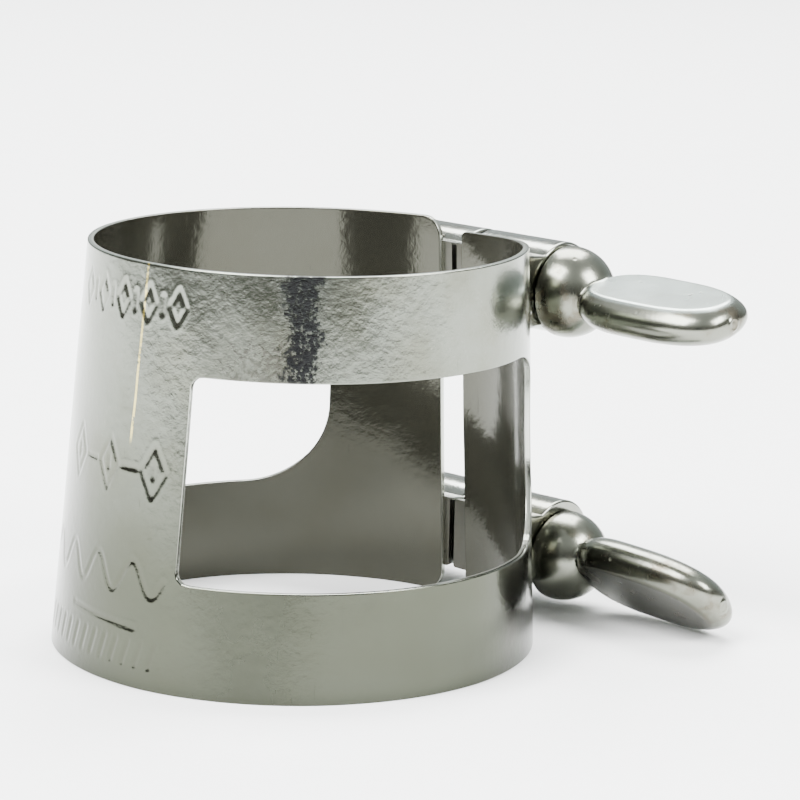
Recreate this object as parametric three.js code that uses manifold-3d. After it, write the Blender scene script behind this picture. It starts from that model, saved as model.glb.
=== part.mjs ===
// Ligature for a clarinet mouthpiece: a tapered sheet-metal band with two windows and a split,
// closed by two thumb screws that run through barrel lugs soldered beside the split.
//
// Millimetres. +Z runs up the mouthpiece from the band's wide rim, which is at Z = 0. The bore's
// axis meets the wide rim at the origin. The split faces +Y and both screws point along +X.
import * as THREE from 'three';
import { mergeVertices } from 'three/addons/utils/BufferGeometryUtils.js';
import Module from 'manifold-3d';

const wasm = await Module();
wasm.setup();

// ---- Driving dimensions ----

const BAND = {
  height: 23.4,
  wideRadius: 14.2, // outside, at the wide rim
  narrowRadius: 12.45, // outside, at the narrow rim
  sheet: 0.38,
  leanX: 0.38, // how far the narrow rim sits off the wide rim's axis
  leanY: 0.36,
  ovalWide: 0.19, // out of round, at the wide rim
  ovalNarrow: -0.16, // and at the narrow rim
  ovalAngle: -59.4, // degrees, where the oval is measured
  dip: 0.65, // how far the narrow rim falls away where it meets the split from the +X side
  dipFrom: 35, // degrees
};
const BAND_STEPS = 90;

const SPLIT = { centre: 90, halfWidth: 4.1, roundCorner: 1.3, squareCorner: 0.35 };
const STRIP = { near: 40.4, far: 33 }; // degrees, on the +X side and the -X side of the split
const WINDOW = { bottom: 6.15, top: 17.6, plateCorner: 0.7, stripCorner: 5.0 };
const PLATE = { from: -135.9, to: -73.9 }; // degrees, the solid plate that presses on the reed

const LUG = { radius: 2.72, length: 6, waist: 2.1, footHalf: 2.7, depth: 5.6, gap: 0.4, solderGap: 0.1 };
const BORE = { plain: 1.8, threaded: 1.36 };

const SCREW = { shankRadius: 1.3, shankEnd: 0.8, socketDepth: 2, socketClear: 0.2, seatClear: 0.05 };
const HEAD = {
  ballRadius: 2.72,
  ballCentre: 0.45, // from the flat shoulder
  neckRadius: 1.05,
  paddleStart: 2.4,
  paddleWidest: 7,
  paddleTip: 12.75,
  paddleHalfWidth: 3.2,
  paddleCrown: 1.7, // half thickness before the flats are cut
  paddleThickness: 2.2,
  nearPower: 3,
  farPower: 2.9,
  crownFarPower: 2.6,
};

// One entry for each screw: the height of its lugs, how far the seat of its plain lug lies from the
// split, how much it droops towards its head, and how its paddle is turned, in degrees.
const STATIONS = [
  { name: 'upper', height: 19.72, seat: 6.19, droop: 1.0, paddleTurn: 8.5 },
  { name: 'lower', height: 3.75, seat: 5.77, droop: 3.5, paddleTurn: -41.1 },
];

const { degToRad } = THREE.MathUtils;

// ---- The band's surface ----

// Outside radius of the straight, round cone at a height.
function coneRadius(z) {
  return THREE.MathUtils.lerp(BAND.wideRadius, BAND.narrowRadius, z / BAND.height);
}

// Moves a point of the straight, round cone to the real band's surface, which leans, is a little
// out of round, and dips where its +X strip ends at the split.
function settle(point) {
  const s = point.z / BAND.height;
  const angle = Math.atan2(point.y, point.x);
  const radius = Math.hypot(point.x, point.y);
  const oval = THREE.MathUtils.lerp(BAND.ovalWide, BAND.ovalNarrow, s);
  const r = radius + oval * Math.cos(2 * (angle - degToRad(BAND.ovalAngle)));
  const toSplit = angle < degToRad(SPLIT.centre) ? angle : -Math.PI;
  const dip = THREE.MathUtils.smoothstep(toSplit, degToRad(BAND.dipFrom), degToRad(SPLIT.centre));
  point.z -= BAND.dip * dip * s;
  point.x = r * Math.cos(angle) + BAND.leanX * s;
  point.y = r * Math.sin(angle) + BAND.leanY * s;
  return point;
}

// ---- Solids ----

function solidFrom(geometry) {
  const bare = geometry.clone();
  bare.deleteAttribute('normal');
  bare.deleteAttribute('uv');
  const merged = mergeVertices(bare, 1e-5);
  const mesh = new wasm.Mesh({
    numProp: 3,
    vertProperties: new Float32Array(merged.attributes.position.array),
    triVerts: new Uint32Array(merged.index.array),
  });
  return new wasm.Manifold(mesh);
}

function geometryFrom(solid) {
  const mesh = solid.getMesh();
  const geometry = new THREE.BufferGeometry();
  geometry.setAttribute('position', new THREE.BufferAttribute(mesh.vertProperties, 3));
  geometry.setIndex(new THREE.BufferAttribute(mesh.triVerts, 1));
  geometry.computeVertexNormals();
  return geometry;
}

function movePoints(geometry, move) {
  const position = geometry.attributes.position;
  const point = new THREE.Vector3();
  for (let i = 0; i < position.count; i += 1) {
    move(point.fromBufferAttribute(position, i));
    position.setXYZ(i, point.x, point.y, point.z);
  }
  return geometry;
}

// A lathe turned about +X, from points [x, radius].
function turnedOnX(points, steps) {
  const profile = points.map(([x, r]) => new THREE.Vector2(r, x));
  const geometry = new THREE.LatheGeometry(profile, steps);
  geometry.rotateZ(-Math.PI / 2);
  return geometry;
}

function rodOnX(radius, from, to, steps) {
  return turnedOnX([[from, 0], [from, radius], [to, radius], [to, 0]], steps);
}

// ---- Band ----

function bandWall() {
  const inner = BAND.sheet;
  const profile = [
    new THREE.Vector2(BAND.wideRadius - inner, 0),
    new THREE.Vector2(BAND.wideRadius, 0),
    new THREE.Vector2(BAND.narrowRadius, BAND.height),
    new THREE.Vector2(BAND.narrowRadius - inner, BAND.height),
    new THREE.Vector2(BAND.wideRadius - inner, 0),
  ];
  return new THREE.LatheGeometry(profile, BAND_STEPS).rotateX(Math.PI / 2);
}

// Adds points to a closed outline so that none of its edges is longer than the step.
function fineOutline(shape, step) {
  const corners = shape.getPoints(6);
  const points = [];
  corners.forEach((corner, i) => {
    const next = corners[(i + 1) % corners.length];
    const pieces = Math.max(1, Math.ceil(corner.distanceTo(next) / step));
    for (let k = 0; k < pieces; k += 1) points.push(corner.clone().lerp(next, k / pieces));
  });
  return new THREE.Shape(points);
}

// Turns an outline drawn on the unrolled band, with x as arc length and y as height, into a cutter
// that runs out from the bore through the wall.
function radialCutter(outline) {
  // Two of these rings stand close on each side of the wall, so that the cut edge stays smooth.
  const rings = [7, 11.4, 14.9, 45];
  const arcRadius = coneRadius(BAND.height / 2);
  const arcStep = arcRadius * degToRad(360 / BAND_STEPS);
  const geometry = new THREE.ExtrudeGeometry(fineOutline(outline, arcStep), {
    depth: rings.length - 1,
    steps: rings.length - 1,
    bevelEnabled: false,
  });
  movePoints(geometry, (p) => {
    const angle = p.x / arcRadius;
    const radius = rings[Math.round(p.z)];
    p.set(radius * Math.sin(angle), -radius * Math.cos(angle), p.y);
  });
  return solidFrom(geometry);
}

// Arc length on the unrolled band of an angle from +X. The unrolled band starts at -Y.
function arcAt(angle) {
  return coneRadius(BAND.height / 2) * degToRad(angle + 90);
}

// A window with small corners at its plate end and large ones at its strip end.
function windowOutline(plateAngle, stripAngle) {
  const { bottom, top, plateCorner, stripCorner } = WINDOW;
  const plate = arcAt(plateAngle);
  const strip = arcAt(stripAngle);
  const toStrip = Math.sign(strip - plate);
  const shape = new THREE.Shape();
  const corner = (x, y, radius, start) => {
    shape.absarc(x, y, radius, degToRad(start), degToRad(start + 90), false);
  };
  const left = toStrip > 0 ? plate : strip;
  const right = toStrip > 0 ? strip : plate;
  const leftCorner = toStrip > 0 ? plateCorner : stripCorner;
  const rightCorner = toStrip > 0 ? stripCorner : plateCorner;
  corner(right - rightCorner, bottom + rightCorner, rightCorner, -90);
  corner(right - rightCorner, top - rightCorner, rightCorner, 0);
  corner(left + leftCorner, top - leftCorner, leftCorner, 90);
  corner(left + leftCorner, bottom + leftCorner, leftCorner, 180);
  return shape;
}

// The split, flared at its ends by the rounded corners of the strips beside it.
function splitOutline() {
  const { centre, halfWidth, roundCorner, squareCorner } = SPLIT;
  const over = 2;
  const right = arcAt(centre - halfWidth);
  const left = arcAt(centre + halfWidth);
  const { height } = BAND;
  const shape = new THREE.Shape();
  shape.moveTo(right - squareCorner, -over);
  shape.lineTo(left + roundCorner, -over);
  shape.lineTo(left + roundCorner, 0);
  shape.absarc(left + roundCorner, roundCorner, roundCorner, degToRad(-90), degToRad(-180), true);
  shape.absarc(left + roundCorner, height - roundCorner, roundCorner, degToRad(180), degToRad(90), true);
  shape.lineTo(left + roundCorner, height + over);
  shape.lineTo(right - squareCorner, height + over);
  shape.absarc(right - squareCorner, height - squareCorner, squareCorner, degToRad(90), 0, true);
  shape.absarc(right - squareCorner, squareCorner, squareCorner, 0, degToRad(-90), true);
  return shape;
}

function bandGeometry() {
  const near = SPLIT.centre - SPLIT.halfWidth - STRIP.near;
  const far = SPLIT.centre + SPLIT.halfWidth + STRIP.far;
  const band = solidFrom(bandWall())
    .subtract(radialCutter(windowOutline(PLATE.to, near)))
    .subtract(radialCutter(windowOutline(PLATE.from + 360, far)))
    .subtract(radialCutter(splitOutline()));
  return movePoints(geometryFrom(band), settle);
}

// ---- Lugs ----

// The middle of a station's threaded lug, as a distance from the split. Its screw droops from there.
function pivotOf(station) {
  return station.seat - 1.5 * LUG.length - LUG.gap;
}

// The centre of a station's lugs, straight out from the split.
function lugCentre(station) {
  const angle = degToRad(SPLIT.centre);
  const radius = coneRadius(station.height);
  const centre = new THREE.Vector3(radius * Math.cos(angle), radius * Math.sin(angle), station.height);
  settle(centre);
  return centre.set(centre.x, centre.y + LUG.radius, station.height);
}

// A barrel with a foot that flares towards the band, drawn in the plane across the screw, with the
// band in the -x direction.
function lugOutline() {
  const { radius, waist, footHalf, depth } = LUG;
  // The barrel's arc ends where it is as high as the waist.
  const shoulder = Math.PI - Math.asin(waist / radius);
  const waistDepth = Math.sqrt(radius ** 2 - waist ** 2);
  const shape = new THREE.Shape();
  shape.absarc(0, 0, radius, -shoulder, shoulder, false);
  shape.quadraticCurveTo(-waistDepth - 1, waist, -depth, footHalf);
  shape.lineTo(-depth, -footHalf);
  shape.quadraticCurveTo(-waistDepth - 1, -waist, -waistDepth, -waist);
  return shape;
}

// The space that the band and its bore take up, with room for the solder.
function bandSpace() {
  const room = LUG.solderGap;
  const over = 1;
  const slope = (BAND.narrowRadius - BAND.wideRadius) / BAND.height;
  const profile = [
    new THREE.Vector2(0, -over),
    new THREE.Vector2(BAND.wideRadius + room - slope * over, -over),
    new THREE.Vector2(BAND.narrowRadius + room + slope * over, BAND.height + over),
    new THREE.Vector2(0, BAND.height + over),
  ];
  const geometry = new THREE.LatheGeometry(profile, BAND_STEPS).rotateX(Math.PI / 2);
  return solidFrom(movePoints(geometry, settle));
}

// A lug between two distances from the split. It is bored along its station's drooping screw, and
// its ends are faced square to it.
function lugGeometry(station, from, to, bore) {
  const centre = lugCentre(station);
  const over = 2;
  const barrel = new THREE.ExtrudeGeometry(lugOutline(), {
    depth: to - from + 2 * over,
    steps: 1,
    curveSegments: 28,
    bevelEnabled: false,
  });
  // Drawn with x outwards and y up, and extruded along the screw.
  movePoints(barrel, (p) => p.set(centre.x + from - over + p.z, centre.y + p.x, centre.z + p.y));
  const pivot = pivotOf(station);
  const alongScrew = (radius, start, end, steps) => {
    const rod = rodOnX(radius, start - pivot, end - pivot, steps);
    rod.rotateY(degToRad(station.droop)).translate(centre.x + pivot, centre.y, centre.z);
    return solidFrom(rod);
  };
  const lug = solidFrom(barrel)
    .intersect(alongScrew(4 * LUG.radius, from, to, 12))
    .subtract(alongScrew(bore, from - over, to + over, 28))
    .subtract(bandSpace());
  return geometryFrom(lug);
}

// ---- Thumb screws, drawn along +X from the flat shoulder of the head ----

function shankGeometry(length) {
  const { shankRadius, socketDepth, socketClear } = SCREW;
  const lead = 0.4; // chamfer on the end that enters the thread
  return turnedOnX(
    [
      [-length, 0],
      [-length, shankRadius - lead],
      [-length + lead, shankRadius],
      [socketDepth - socketClear, shankRadius],
      [socketDepth - socketClear, 0],
    ],
    28,
  );
}

function ball() {
  const { ballRadius, ballCentre, neckRadius } = HEAD;
  const steps = 12;
  const start = Math.acos(-ballCentre / ballRadius);
  const end = Math.asin(neckRadius / ballRadius);
  const points = [[0, 0]];
  for (let i = 0; i <= steps; i += 1) {
    const angle = THREE.MathUtils.lerp(start, end, i / steps);
    points.push([ballCentre + ballRadius * Math.cos(angle), ballRadius * Math.sin(angle)]);
  }
  points.push([ballCentre + ballRadius * Math.cos(end), 0]);
  return solidFrom(turnedOnX(points, 36));
}

// How full the egg that the paddle is cut from is at a distance from the shoulder, from 0 to 1.
function eggFullness(x, tipPower) {
  const { paddleStart, paddleWidest, paddleTip, nearPower } = HEAD;
  const near = x < paddleWidest;
  const reach = near ? paddleWidest - paddleStart : paddleTip - paddleWidest;
  const power = near ? nearPower : tipPower;
  const along = Math.min(1, Math.abs(x - paddleWidest) / reach);
  return (1 - along ** power) ** (1 / power);
}

function paddle() {
  const { paddleStart, paddleTip, paddleHalfWidth, paddleCrown, paddleThickness } = HEAD;
  const steps = 26;
  const points = [[paddleStart, 0]];
  for (let i = 1; i < steps; i += 1) {
    // Cosine steps gather the points at both round ends.
    const x = THREE.MathUtils.lerp(paddleStart, paddleTip, (1 - Math.cos((Math.PI * i) / steps)) / 2);
    points.push([x, paddleHalfWidth * eggFullness(x, HEAD.farPower)]);
  }
  points.push([paddleTip, 0]);
  const egg = movePoints(turnedOnX(points, 36), (p) => {
    const wide = paddleHalfWidth * eggFullness(p.x, HEAD.farPower);
    const thick = paddleCrown * eggFullness(p.x, HEAD.crownFarPower);
    p.z *= wide > 0 ? thick / wide : 0;
  });
  let solid = solidFrom(egg);
  const cut = 10;
  for (const side of [-1, 1]) {
    const flat = new THREE.BoxGeometry(2 * paddleTip, cut, cut);
    flat.translate(paddleTip / 2, 0, (side * (paddleThickness + cut)) / 2);
    solid = solid.subtract(solidFrom(flat));
  }
  return solid;
}

function headGeometry() {
  const socket = rodOnX(BORE.threaded, -1, SCREW.socketDepth, 28);
  return geometryFrom(ball().add(paddle()).subtract(solidFrom(socket)));
}

// ---- Assembly ----

const plate = { metalness: 1, roughness: 0.25 };
const FINISH = {
  band: new THREE.MeshStandardMaterial({ color: 0xa7a89f, ...plate }),
  lug: new THREE.MeshStandardMaterial({ color: 0x9fa39b, ...plate }),
  shank: new THREE.MeshStandardMaterial({ color: 0x8f8b80, metalness: 1, roughness: 0.35 }),
  head: new THREE.MeshStandardMaterial({ color: 0xa3a097, metalness: 1, roughness: 0.2 }),
};

function named(name, geometry, material) {
  const mesh = new THREE.Mesh(geometry, material);
  mesh.name = name;
  return mesh;
}

// A thumb screw, seated on its plain lug and run right through its threaded lug.
function screwGroup(station) {
  const pivot = pivotOf(station);
  const seat = station.seat - pivot + SCREW.seatClear;
  const threadedEnd = -LUG.length / 2;
  const group = new THREE.Group();
  group.position.copy(lugCentre(station));
  group.position.x += pivot;
  group.rotation.y = degToRad(station.droop);
  const shank = named(
    `${station.name}_screw_shank`,
    shankGeometry(seat - threadedEnd + SCREW.shankEnd),
    FINISH.shank,
  );
  const head = named(`${station.name}_screw_head`, headGeometry(), FINISH.head);
  shank.position.x = seat;
  head.position.x = seat;
  head.rotation.x = degToRad(station.paddleTurn);
  group.add(shank, head);
  return group;
}

const ligature = new THREE.Group();
ligature.name = 'ligature';
ligature.add(named('band', bandGeometry(), FINISH.band));
for (const station of STATIONS) {
  const { name, seat } = station;
  const plainStart = seat - LUG.length;
  const threadedEnd = plainStart - LUG.gap;
  ligature.add(
    named(`${name}_plain_lug`, lugGeometry(station, plainStart, seat, BORE.plain), FINISH.lug),
    named(
      `${name}_threaded_lug`,
      lugGeometry(station, threadedEnd - LUG.length, threadedEnd, BORE.threaded),
      FINISH.lug,
    ),
    screwGroup(station),
  );
}

export default ligature;
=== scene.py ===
"""Clarinet ligature: a nickel-plated band with soldered lugs and two thumb screws.

Every piece is modelled in millimetres in the row frame and brought to metres when it is finished.
+Z runs up the bore from the wide rim, the split faces +Y, and the screws point along +X.
"""

from __future__ import annotations

import logging
import math
from dataclasses import dataclass
from enum import Enum
from typing import Any, Callable, Iterable, Sequence

import bpy
import numpy as np
from mathutils import Matrix, Vector

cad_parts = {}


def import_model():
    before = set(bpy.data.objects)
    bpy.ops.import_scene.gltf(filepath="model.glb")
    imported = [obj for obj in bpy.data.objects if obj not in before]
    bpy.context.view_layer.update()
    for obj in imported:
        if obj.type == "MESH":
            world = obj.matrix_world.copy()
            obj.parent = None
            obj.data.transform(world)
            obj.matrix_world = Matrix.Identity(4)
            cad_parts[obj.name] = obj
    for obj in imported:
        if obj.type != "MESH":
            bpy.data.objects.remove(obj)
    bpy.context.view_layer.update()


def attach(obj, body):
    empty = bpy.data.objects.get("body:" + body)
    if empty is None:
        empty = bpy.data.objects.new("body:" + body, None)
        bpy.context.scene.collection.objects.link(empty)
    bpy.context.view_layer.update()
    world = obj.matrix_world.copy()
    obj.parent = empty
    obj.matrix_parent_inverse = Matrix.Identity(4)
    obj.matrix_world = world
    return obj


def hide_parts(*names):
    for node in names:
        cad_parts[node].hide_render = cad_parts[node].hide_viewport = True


LOG = logging.getLogger("ligature")
MILLIMETRE = 0.001
BAND_BODY = "band_body"
QUARTER_TURN = math.pi / 2
SHARP_EDGE = math.radians(50)
EDGE_SEGMENTS = 3
TINY = 1e-6

Point = tuple[float, float]
Stroke = tuple[Point, Point]
Colour = tuple[float, float, float]


class LugKind(Enum):
    """What the hole in a lug is for."""

    PLAIN = "plain"
    THREADED = "threaded"


class Slot(Enum):
    """The record's material slots."""

    BAND = "band_plate"
    LUG = "lug_plate"
    SHANK = "shank_plate"
    HEAD = "head_plate"


# ---------------------------------------------------------------------------
# Edit-mode helpers
# ---------------------------------------------------------------------------


class Bench:
    """Blender's own modelling operators, used one piece at a time."""

    @staticmethod
    def clear_selection() -> None:
        """Deselects every object, the frame's nodes included."""
        if bpy.context.object and bpy.context.object.mode != "OBJECT":
            bpy.ops.object.mode_set(mode="OBJECT")
        bpy.ops.object.select_all(action="DESELECT")

    @staticmethod
    def adopt(name: str) -> bpy.types.Object:
        """Names the primitive that was just added and returns it."""
        piece = bpy.context.object
        piece.name = name
        piece.data.name = name
        return piece

    @classmethod
    def activate(cls, piece: bpy.types.Object) -> None:
        """Makes one piece the only selected and the active object."""
        cls.clear_selection()
        piece.select_set(True)
        bpy.context.view_layer.objects.active = piece

    @classmethod
    def edit(cls, piece: bpy.types.Object, mode: str = "FACE") -> None:
        """Opens a piece in edit mode with everything selected.

        Args:
            piece: The piece to open.
            mode: VERT, EDGE or FACE.
        """
        cls.activate(piece)
        bpy.ops.object.mode_set(mode="EDIT")
        bpy.ops.mesh.select_mode(type=mode)
        bpy.ops.mesh.select_all(action="SELECT")

    @staticmethod
    def close() -> None:
        """Returns to object mode."""
        bpy.ops.object.mode_set(mode="OBJECT")

    @classmethod
    def select_faces(cls, piece: bpy.types.Object, chosen: np.ndarray) -> None:
        """Opens a piece in edit mode with only the chosen faces selected.

        Args:
            piece: The piece to open.
            chosen: One truth value for each face.
        """
        cls.edit(piece)
        bpy.ops.mesh.select_all(action="DESELECT")
        cls.close()
        piece.data.polygons.foreach_set("select", chosen.astype(bool))
        bpy.ops.object.mode_set(mode="EDIT")

    @staticmethod
    def points(piece: bpy.types.Object) -> np.ndarray:
        """The piece's vertices as rows of x, y and z."""
        flat = np.empty(len(piece.data.vertices) * 3)
        piece.data.vertices.foreach_get("co", flat)
        return flat.reshape(-1, 3)

    @staticmethod
    def set_points(piece: bpy.types.Object, points: np.ndarray) -> None:
        """Moves the piece's vertices.

        Args:
            piece: The piece to change.
            points: One row of x, y and z for each vertex.
        """
        piece.data.vertices.foreach_set("co", points.astype(np.float64).ravel())
        piece.data.update()

    @classmethod
    def apply(cls, piece: bpy.types.Object, kind: str, **settings: Any) -> None:
        """Adds a modifier to a piece and applies it.

        Args:
            piece: The piece to change.
            kind: The modifier's type.
            **settings: Its settings, by name.
        """
        cls.activate(piece)
        modifier = piece.modifiers.new(kind.title(), kind)
        for key, value in settings.items():
            setattr(modifier, key, value)
        bpy.ops.object.modifier_apply(modifier=modifier.name)

    @classmethod
    def round_edges(cls, piece: bpy.types.Object, width: float, **settings: Any) -> None:
        """Rounds the sharp edges of a piece.

        Args:
            piece: The piece to change.
            width: How far the rounding reaches from an edge.
            **settings: More of the bevel's settings, by name.
        """
        limits = {"limit_method": "ANGLE", "angle_limit": SHARP_EDGE, "segments": EDGE_SEGMENTS}
        cls.apply(piece, "BEVEL", width=width, **limits, **settings)

    @classmethod
    def cut(cls, piece: bpy.types.Object, tool: bpy.types.Object) -> None:
        """Cuts a piece with another solid, which is used up."""
        cls.apply(piece, "BOOLEAN", object=tool, operation="DIFFERENCE", solver="EXACT")
        bpy.data.objects.remove(tool)

    @staticmethod
    def store(piece: bpy.types.Object, name: str, values: np.ndarray) -> None:
        """Stores one number for each vertex on the piece, for its finish to read.

        Args:
            piece: The piece to change.
            name: The attribute's name.
            values: One number for each vertex.
        """
        piece.data.attributes.new(name, "FLOAT", "POINT").data.foreach_set("value", values)

    @classmethod
    def slice(cls, piece: bpy.types.Object, point: Vector, outwards: Vector) -> None:
        """Cuts away what lies beyond a plane and closes the cut.

        Args:
            piece: The piece to change.
            point: A point on the plane.
            outwards: The plane's normal, towards what goes.
        """
        cls.edit(piece)
        bpy.ops.mesh.bisect(
            plane_co=point, plane_no=outwards, use_fill=True, clear_outer=True, threshold=1e-5
        )
        cls.close()

    @classmethod
    def face_out(cls, piece: bpy.types.Object, merge: float = 1e-4) -> None:
        """Merges doubled vertices and turns every face outwards.

        Args:
            piece: The piece to change.
            merge: The distance within which vertices are one.
        """
        cls.edit(piece)
        bpy.ops.mesh.remove_doubles(threshold=merge)
        bpy.ops.mesh.normals_make_consistent(inside=False)
        cls.close()

    @classmethod
    def smooth(cls, piece: bpy.types.Object, angle: float) -> None:
        """Shades a piece smooth, with sharp edges above an angle in degrees."""
        cls.activate(piece)
        bpy.ops.object.shade_smooth_by_angle(angle=math.radians(angle))

    @classmethod
    def finish(
        cls, piece: bpy.types.Object, angle: float, slot: Slot, body: str, node: str, weigh: bool = True
    ) -> bpy.types.Object:
        """Shades a finished piece, brings it to metres and ties it to the frame.

        Args:
            piece: The piece, in millimetres in the row frame.
            angle: The angle in degrees above which an edge is sharp.
            slot: The record's slot; not used.
            body: The CAD body that it rides on.
            node: The CAD node that it stands for.
            weigh: Whether broad faces set the shading of the narrow ones beside them.

        Returns:
            The same piece.
        """
        cls.smooth(piece, angle)
        if weigh:
            cls.apply(piece, "WEIGHTED_NORMAL", keep_sharp=True, weight=80)
        piece.data.transform(Matrix.Scale(MILLIMETRE, 4))
        piece.data.update()
        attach(piece, body)
        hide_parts(node)
        LOG.info("%s: %d faces on %s", piece.name, len(piece.data.polygons), body)
        return piece


# ---------------------------------------------------------------------------
# Band
# ---------------------------------------------------------------------------


@dataclass(frozen=True)
class FlatCorner:
    """A rounded corner in the flat sheet.

    The centre is the arc's, and the signs point from it to the corner. A window's corner leaves
    the sheet outside its arc, and the sheet's own corner leaves it inside.
    """

    u: float
    v: float
    radius: float
    sign_u: int
    sign_v: int

    def measure(self, flat: np.ndarray) -> tuple[np.ndarray, np.ndarray]:
        """Finds the points of the corner's own square.

        Args:
            flat: Rows of u and v.

        Returns:
            Which rows lie in the square, and each row's distance from the arc's centre.
        """
        du = (flat[:, 0] - self.u) * self.sign_u
        dv = (flat[:, 1] - self.v) * self.sign_v
        slack = 1e-4
        inside = (du > -slack) & (dv > -slack) & (du < self.radius + slack) & (dv < self.radius + slack)
        return inside, np.hypot(du, dv)

    def snap(self, flat: np.ndarray, rim: np.ndarray) -> None:
        """Moves the rim's points in the corner's square to the arc.

        Args:
            flat: Rows of u and v, changed in place.
            rim: Which rows are on the rim.
        """
        inside, distance = self.measure(flat)
        chosen = inside & rim & (distance > TINY)
        centre = np.array([self.u, self.v])
        out = flat[chosen, :2] - centre
        flat[chosen, :2] = centre + out * (self.radius / distance[chosen])[:, None]


@dataclass(frozen=True)
class DiamondRow:
    """A row of pressed diamonds with a short stroke between neighbours.

    The places along the row are angles in degrees, and the rest is in millimetres. The tick is
    half the length of the upright stroke inside a diamond, or 0 for none.
    """

    count: int
    first: float
    pitch: float
    between: float
    height: float
    half_wide: float
    half_high: float
    tick: float
    dash_wide: float
    dash_high: float

    def strokes(self, arc_at: Callable[[float], float]) -> list[Stroke]:
        """The row's strokes on the flat sheet."""
        found: list[Stroke] = []
        v = self.height
        wide, high = self.dash_wide, self.dash_high
        for i in range(self.count):
            u = arc_at(self.first + self.pitch * i)
            around = ((1, 0), (0, 1), (-1, 0), (0, -1))
            tips = [(u + a * self.half_wide, v + b * self.half_high) for a, b in around]
            found += [(tips[k], tips[(k + 1) % 4]) for k in range(4)]
            if self.tick:
                found.append(((u, v - self.tick), (u, v + self.tick)))
            if i < self.count - 1:
                u = arc_at(self.first + self.between + self.pitch * i)
                found.append(((u - wide, v - high), (u + wide, v + high)))
        return found


@dataclass(frozen=True)
class PressedMarks:
    """Rows of plain strokes pressed into the reed plate. They spell nothing.

    Each place is an angle in degrees and a height, and the rest is in millimetres.
    """

    depth: float = 0.04
    half_width: float = 0.12
    lip: float = 0.012
    lip_away: float = 2.1
    lip_width: float = 0.09
    rows: tuple[DiamondRow, ...] = (
        DiamondRow(5, 242.5, 9.6, 4.8, 21.25, 0.55, 0.95, 0.0, 0.0, 0.5),
        DiamondRow(3, 246.5, 15.5, 7.7, 12.1, 0.85, 1.45, 0.35, 0.55, 0.0),
    )
    wave_from: float = 233.0
    wave_to: float = 283.0
    wave_height: float = 6.1
    wave_swing: float = 0.95
    wave_length: float = 2.9
    wave_step: float = 0.2
    rule_from: Point = (251.6, 3.6)
    rule_to: Point = (275.6, 3.3)
    hatches: int = 13
    hatch_first: float = 234.5
    hatch_pitch: float = 3.9
    hatch_lean: float = 0.18
    hatch_low: float = 1.25
    hatch_high: float = 2.55

    def wave(self, start: float, end: float) -> list[Stroke]:
        """A sine-shaped line of short strokes between two places on the flat sheet."""
        steps = int((end - start) / self.wave_step)
        us = [start + (end - start) * i / steps for i in range(steps + 1)]
        turn = 2 * math.pi / self.wave_length
        line = [(u, self.wave_height + self.wave_swing * math.sin(turn * (u - start))) for u in us]
        return list(zip(line[:-1], line[1:]))

    def strokes(self, arc_at: Callable[[float], float]) -> list[Stroke]:
        """All strokes, on the flat sheet.

        Args:
            arc_at: Gives the place along the flat sheet of an angle in degrees.

        Returns:
            Pairs of end points.
        """
        found = [stroke for row in self.rows for stroke in row.strokes(arc_at)]
        found += self.wave(arc_at(self.wave_from), arc_at(self.wave_to))
        (start, low), (end, high) = self.rule_from, self.rule_to
        found.append(((arc_at(start), low), (arc_at(end), high)))
        for i in range(self.hatches):
            u = arc_at(self.hatch_first + self.hatch_pitch * i)
            found.append(((u - self.hatch_lean, self.hatch_low), (u + self.hatch_lean, self.hatch_high)))
        return found

    def depth_at(self, flat: np.ndarray, arc_at: Callable[[float], float]) -> np.ndarray:
        """How far each point is pressed in.

        Args:
            flat: Rows of u and v.
            arc_at: Gives the place along the flat sheet of an angle in degrees.

        Returns:
            A depth for each row, below zero on the lip that is pushed up beside a stroke.
        """
        nearest = np.full(len(flat), np.inf)
        for (u0, v0), (u1, v1) in self.strokes(arc_at):
            start = np.array([u0, v0])
            along = np.array([u1 - u0, v1 - v0])
            share = np.clip(((flat - start) @ along) / (along @ along), 0, 1)
            gap = flat - start - share[:, None] * along
            nearest = np.minimum(nearest, np.hypot(gap[:, 0], gap[:, 1]))
        groove = self.depth * np.exp(-((nearest / self.half_width) ** 2))
        lip_gap = nearest - self.lip_away * self.half_width
        lip = self.lip * np.exp(-((lip_gap / self.lip_width) ** 2))
        return groove - lip


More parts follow.
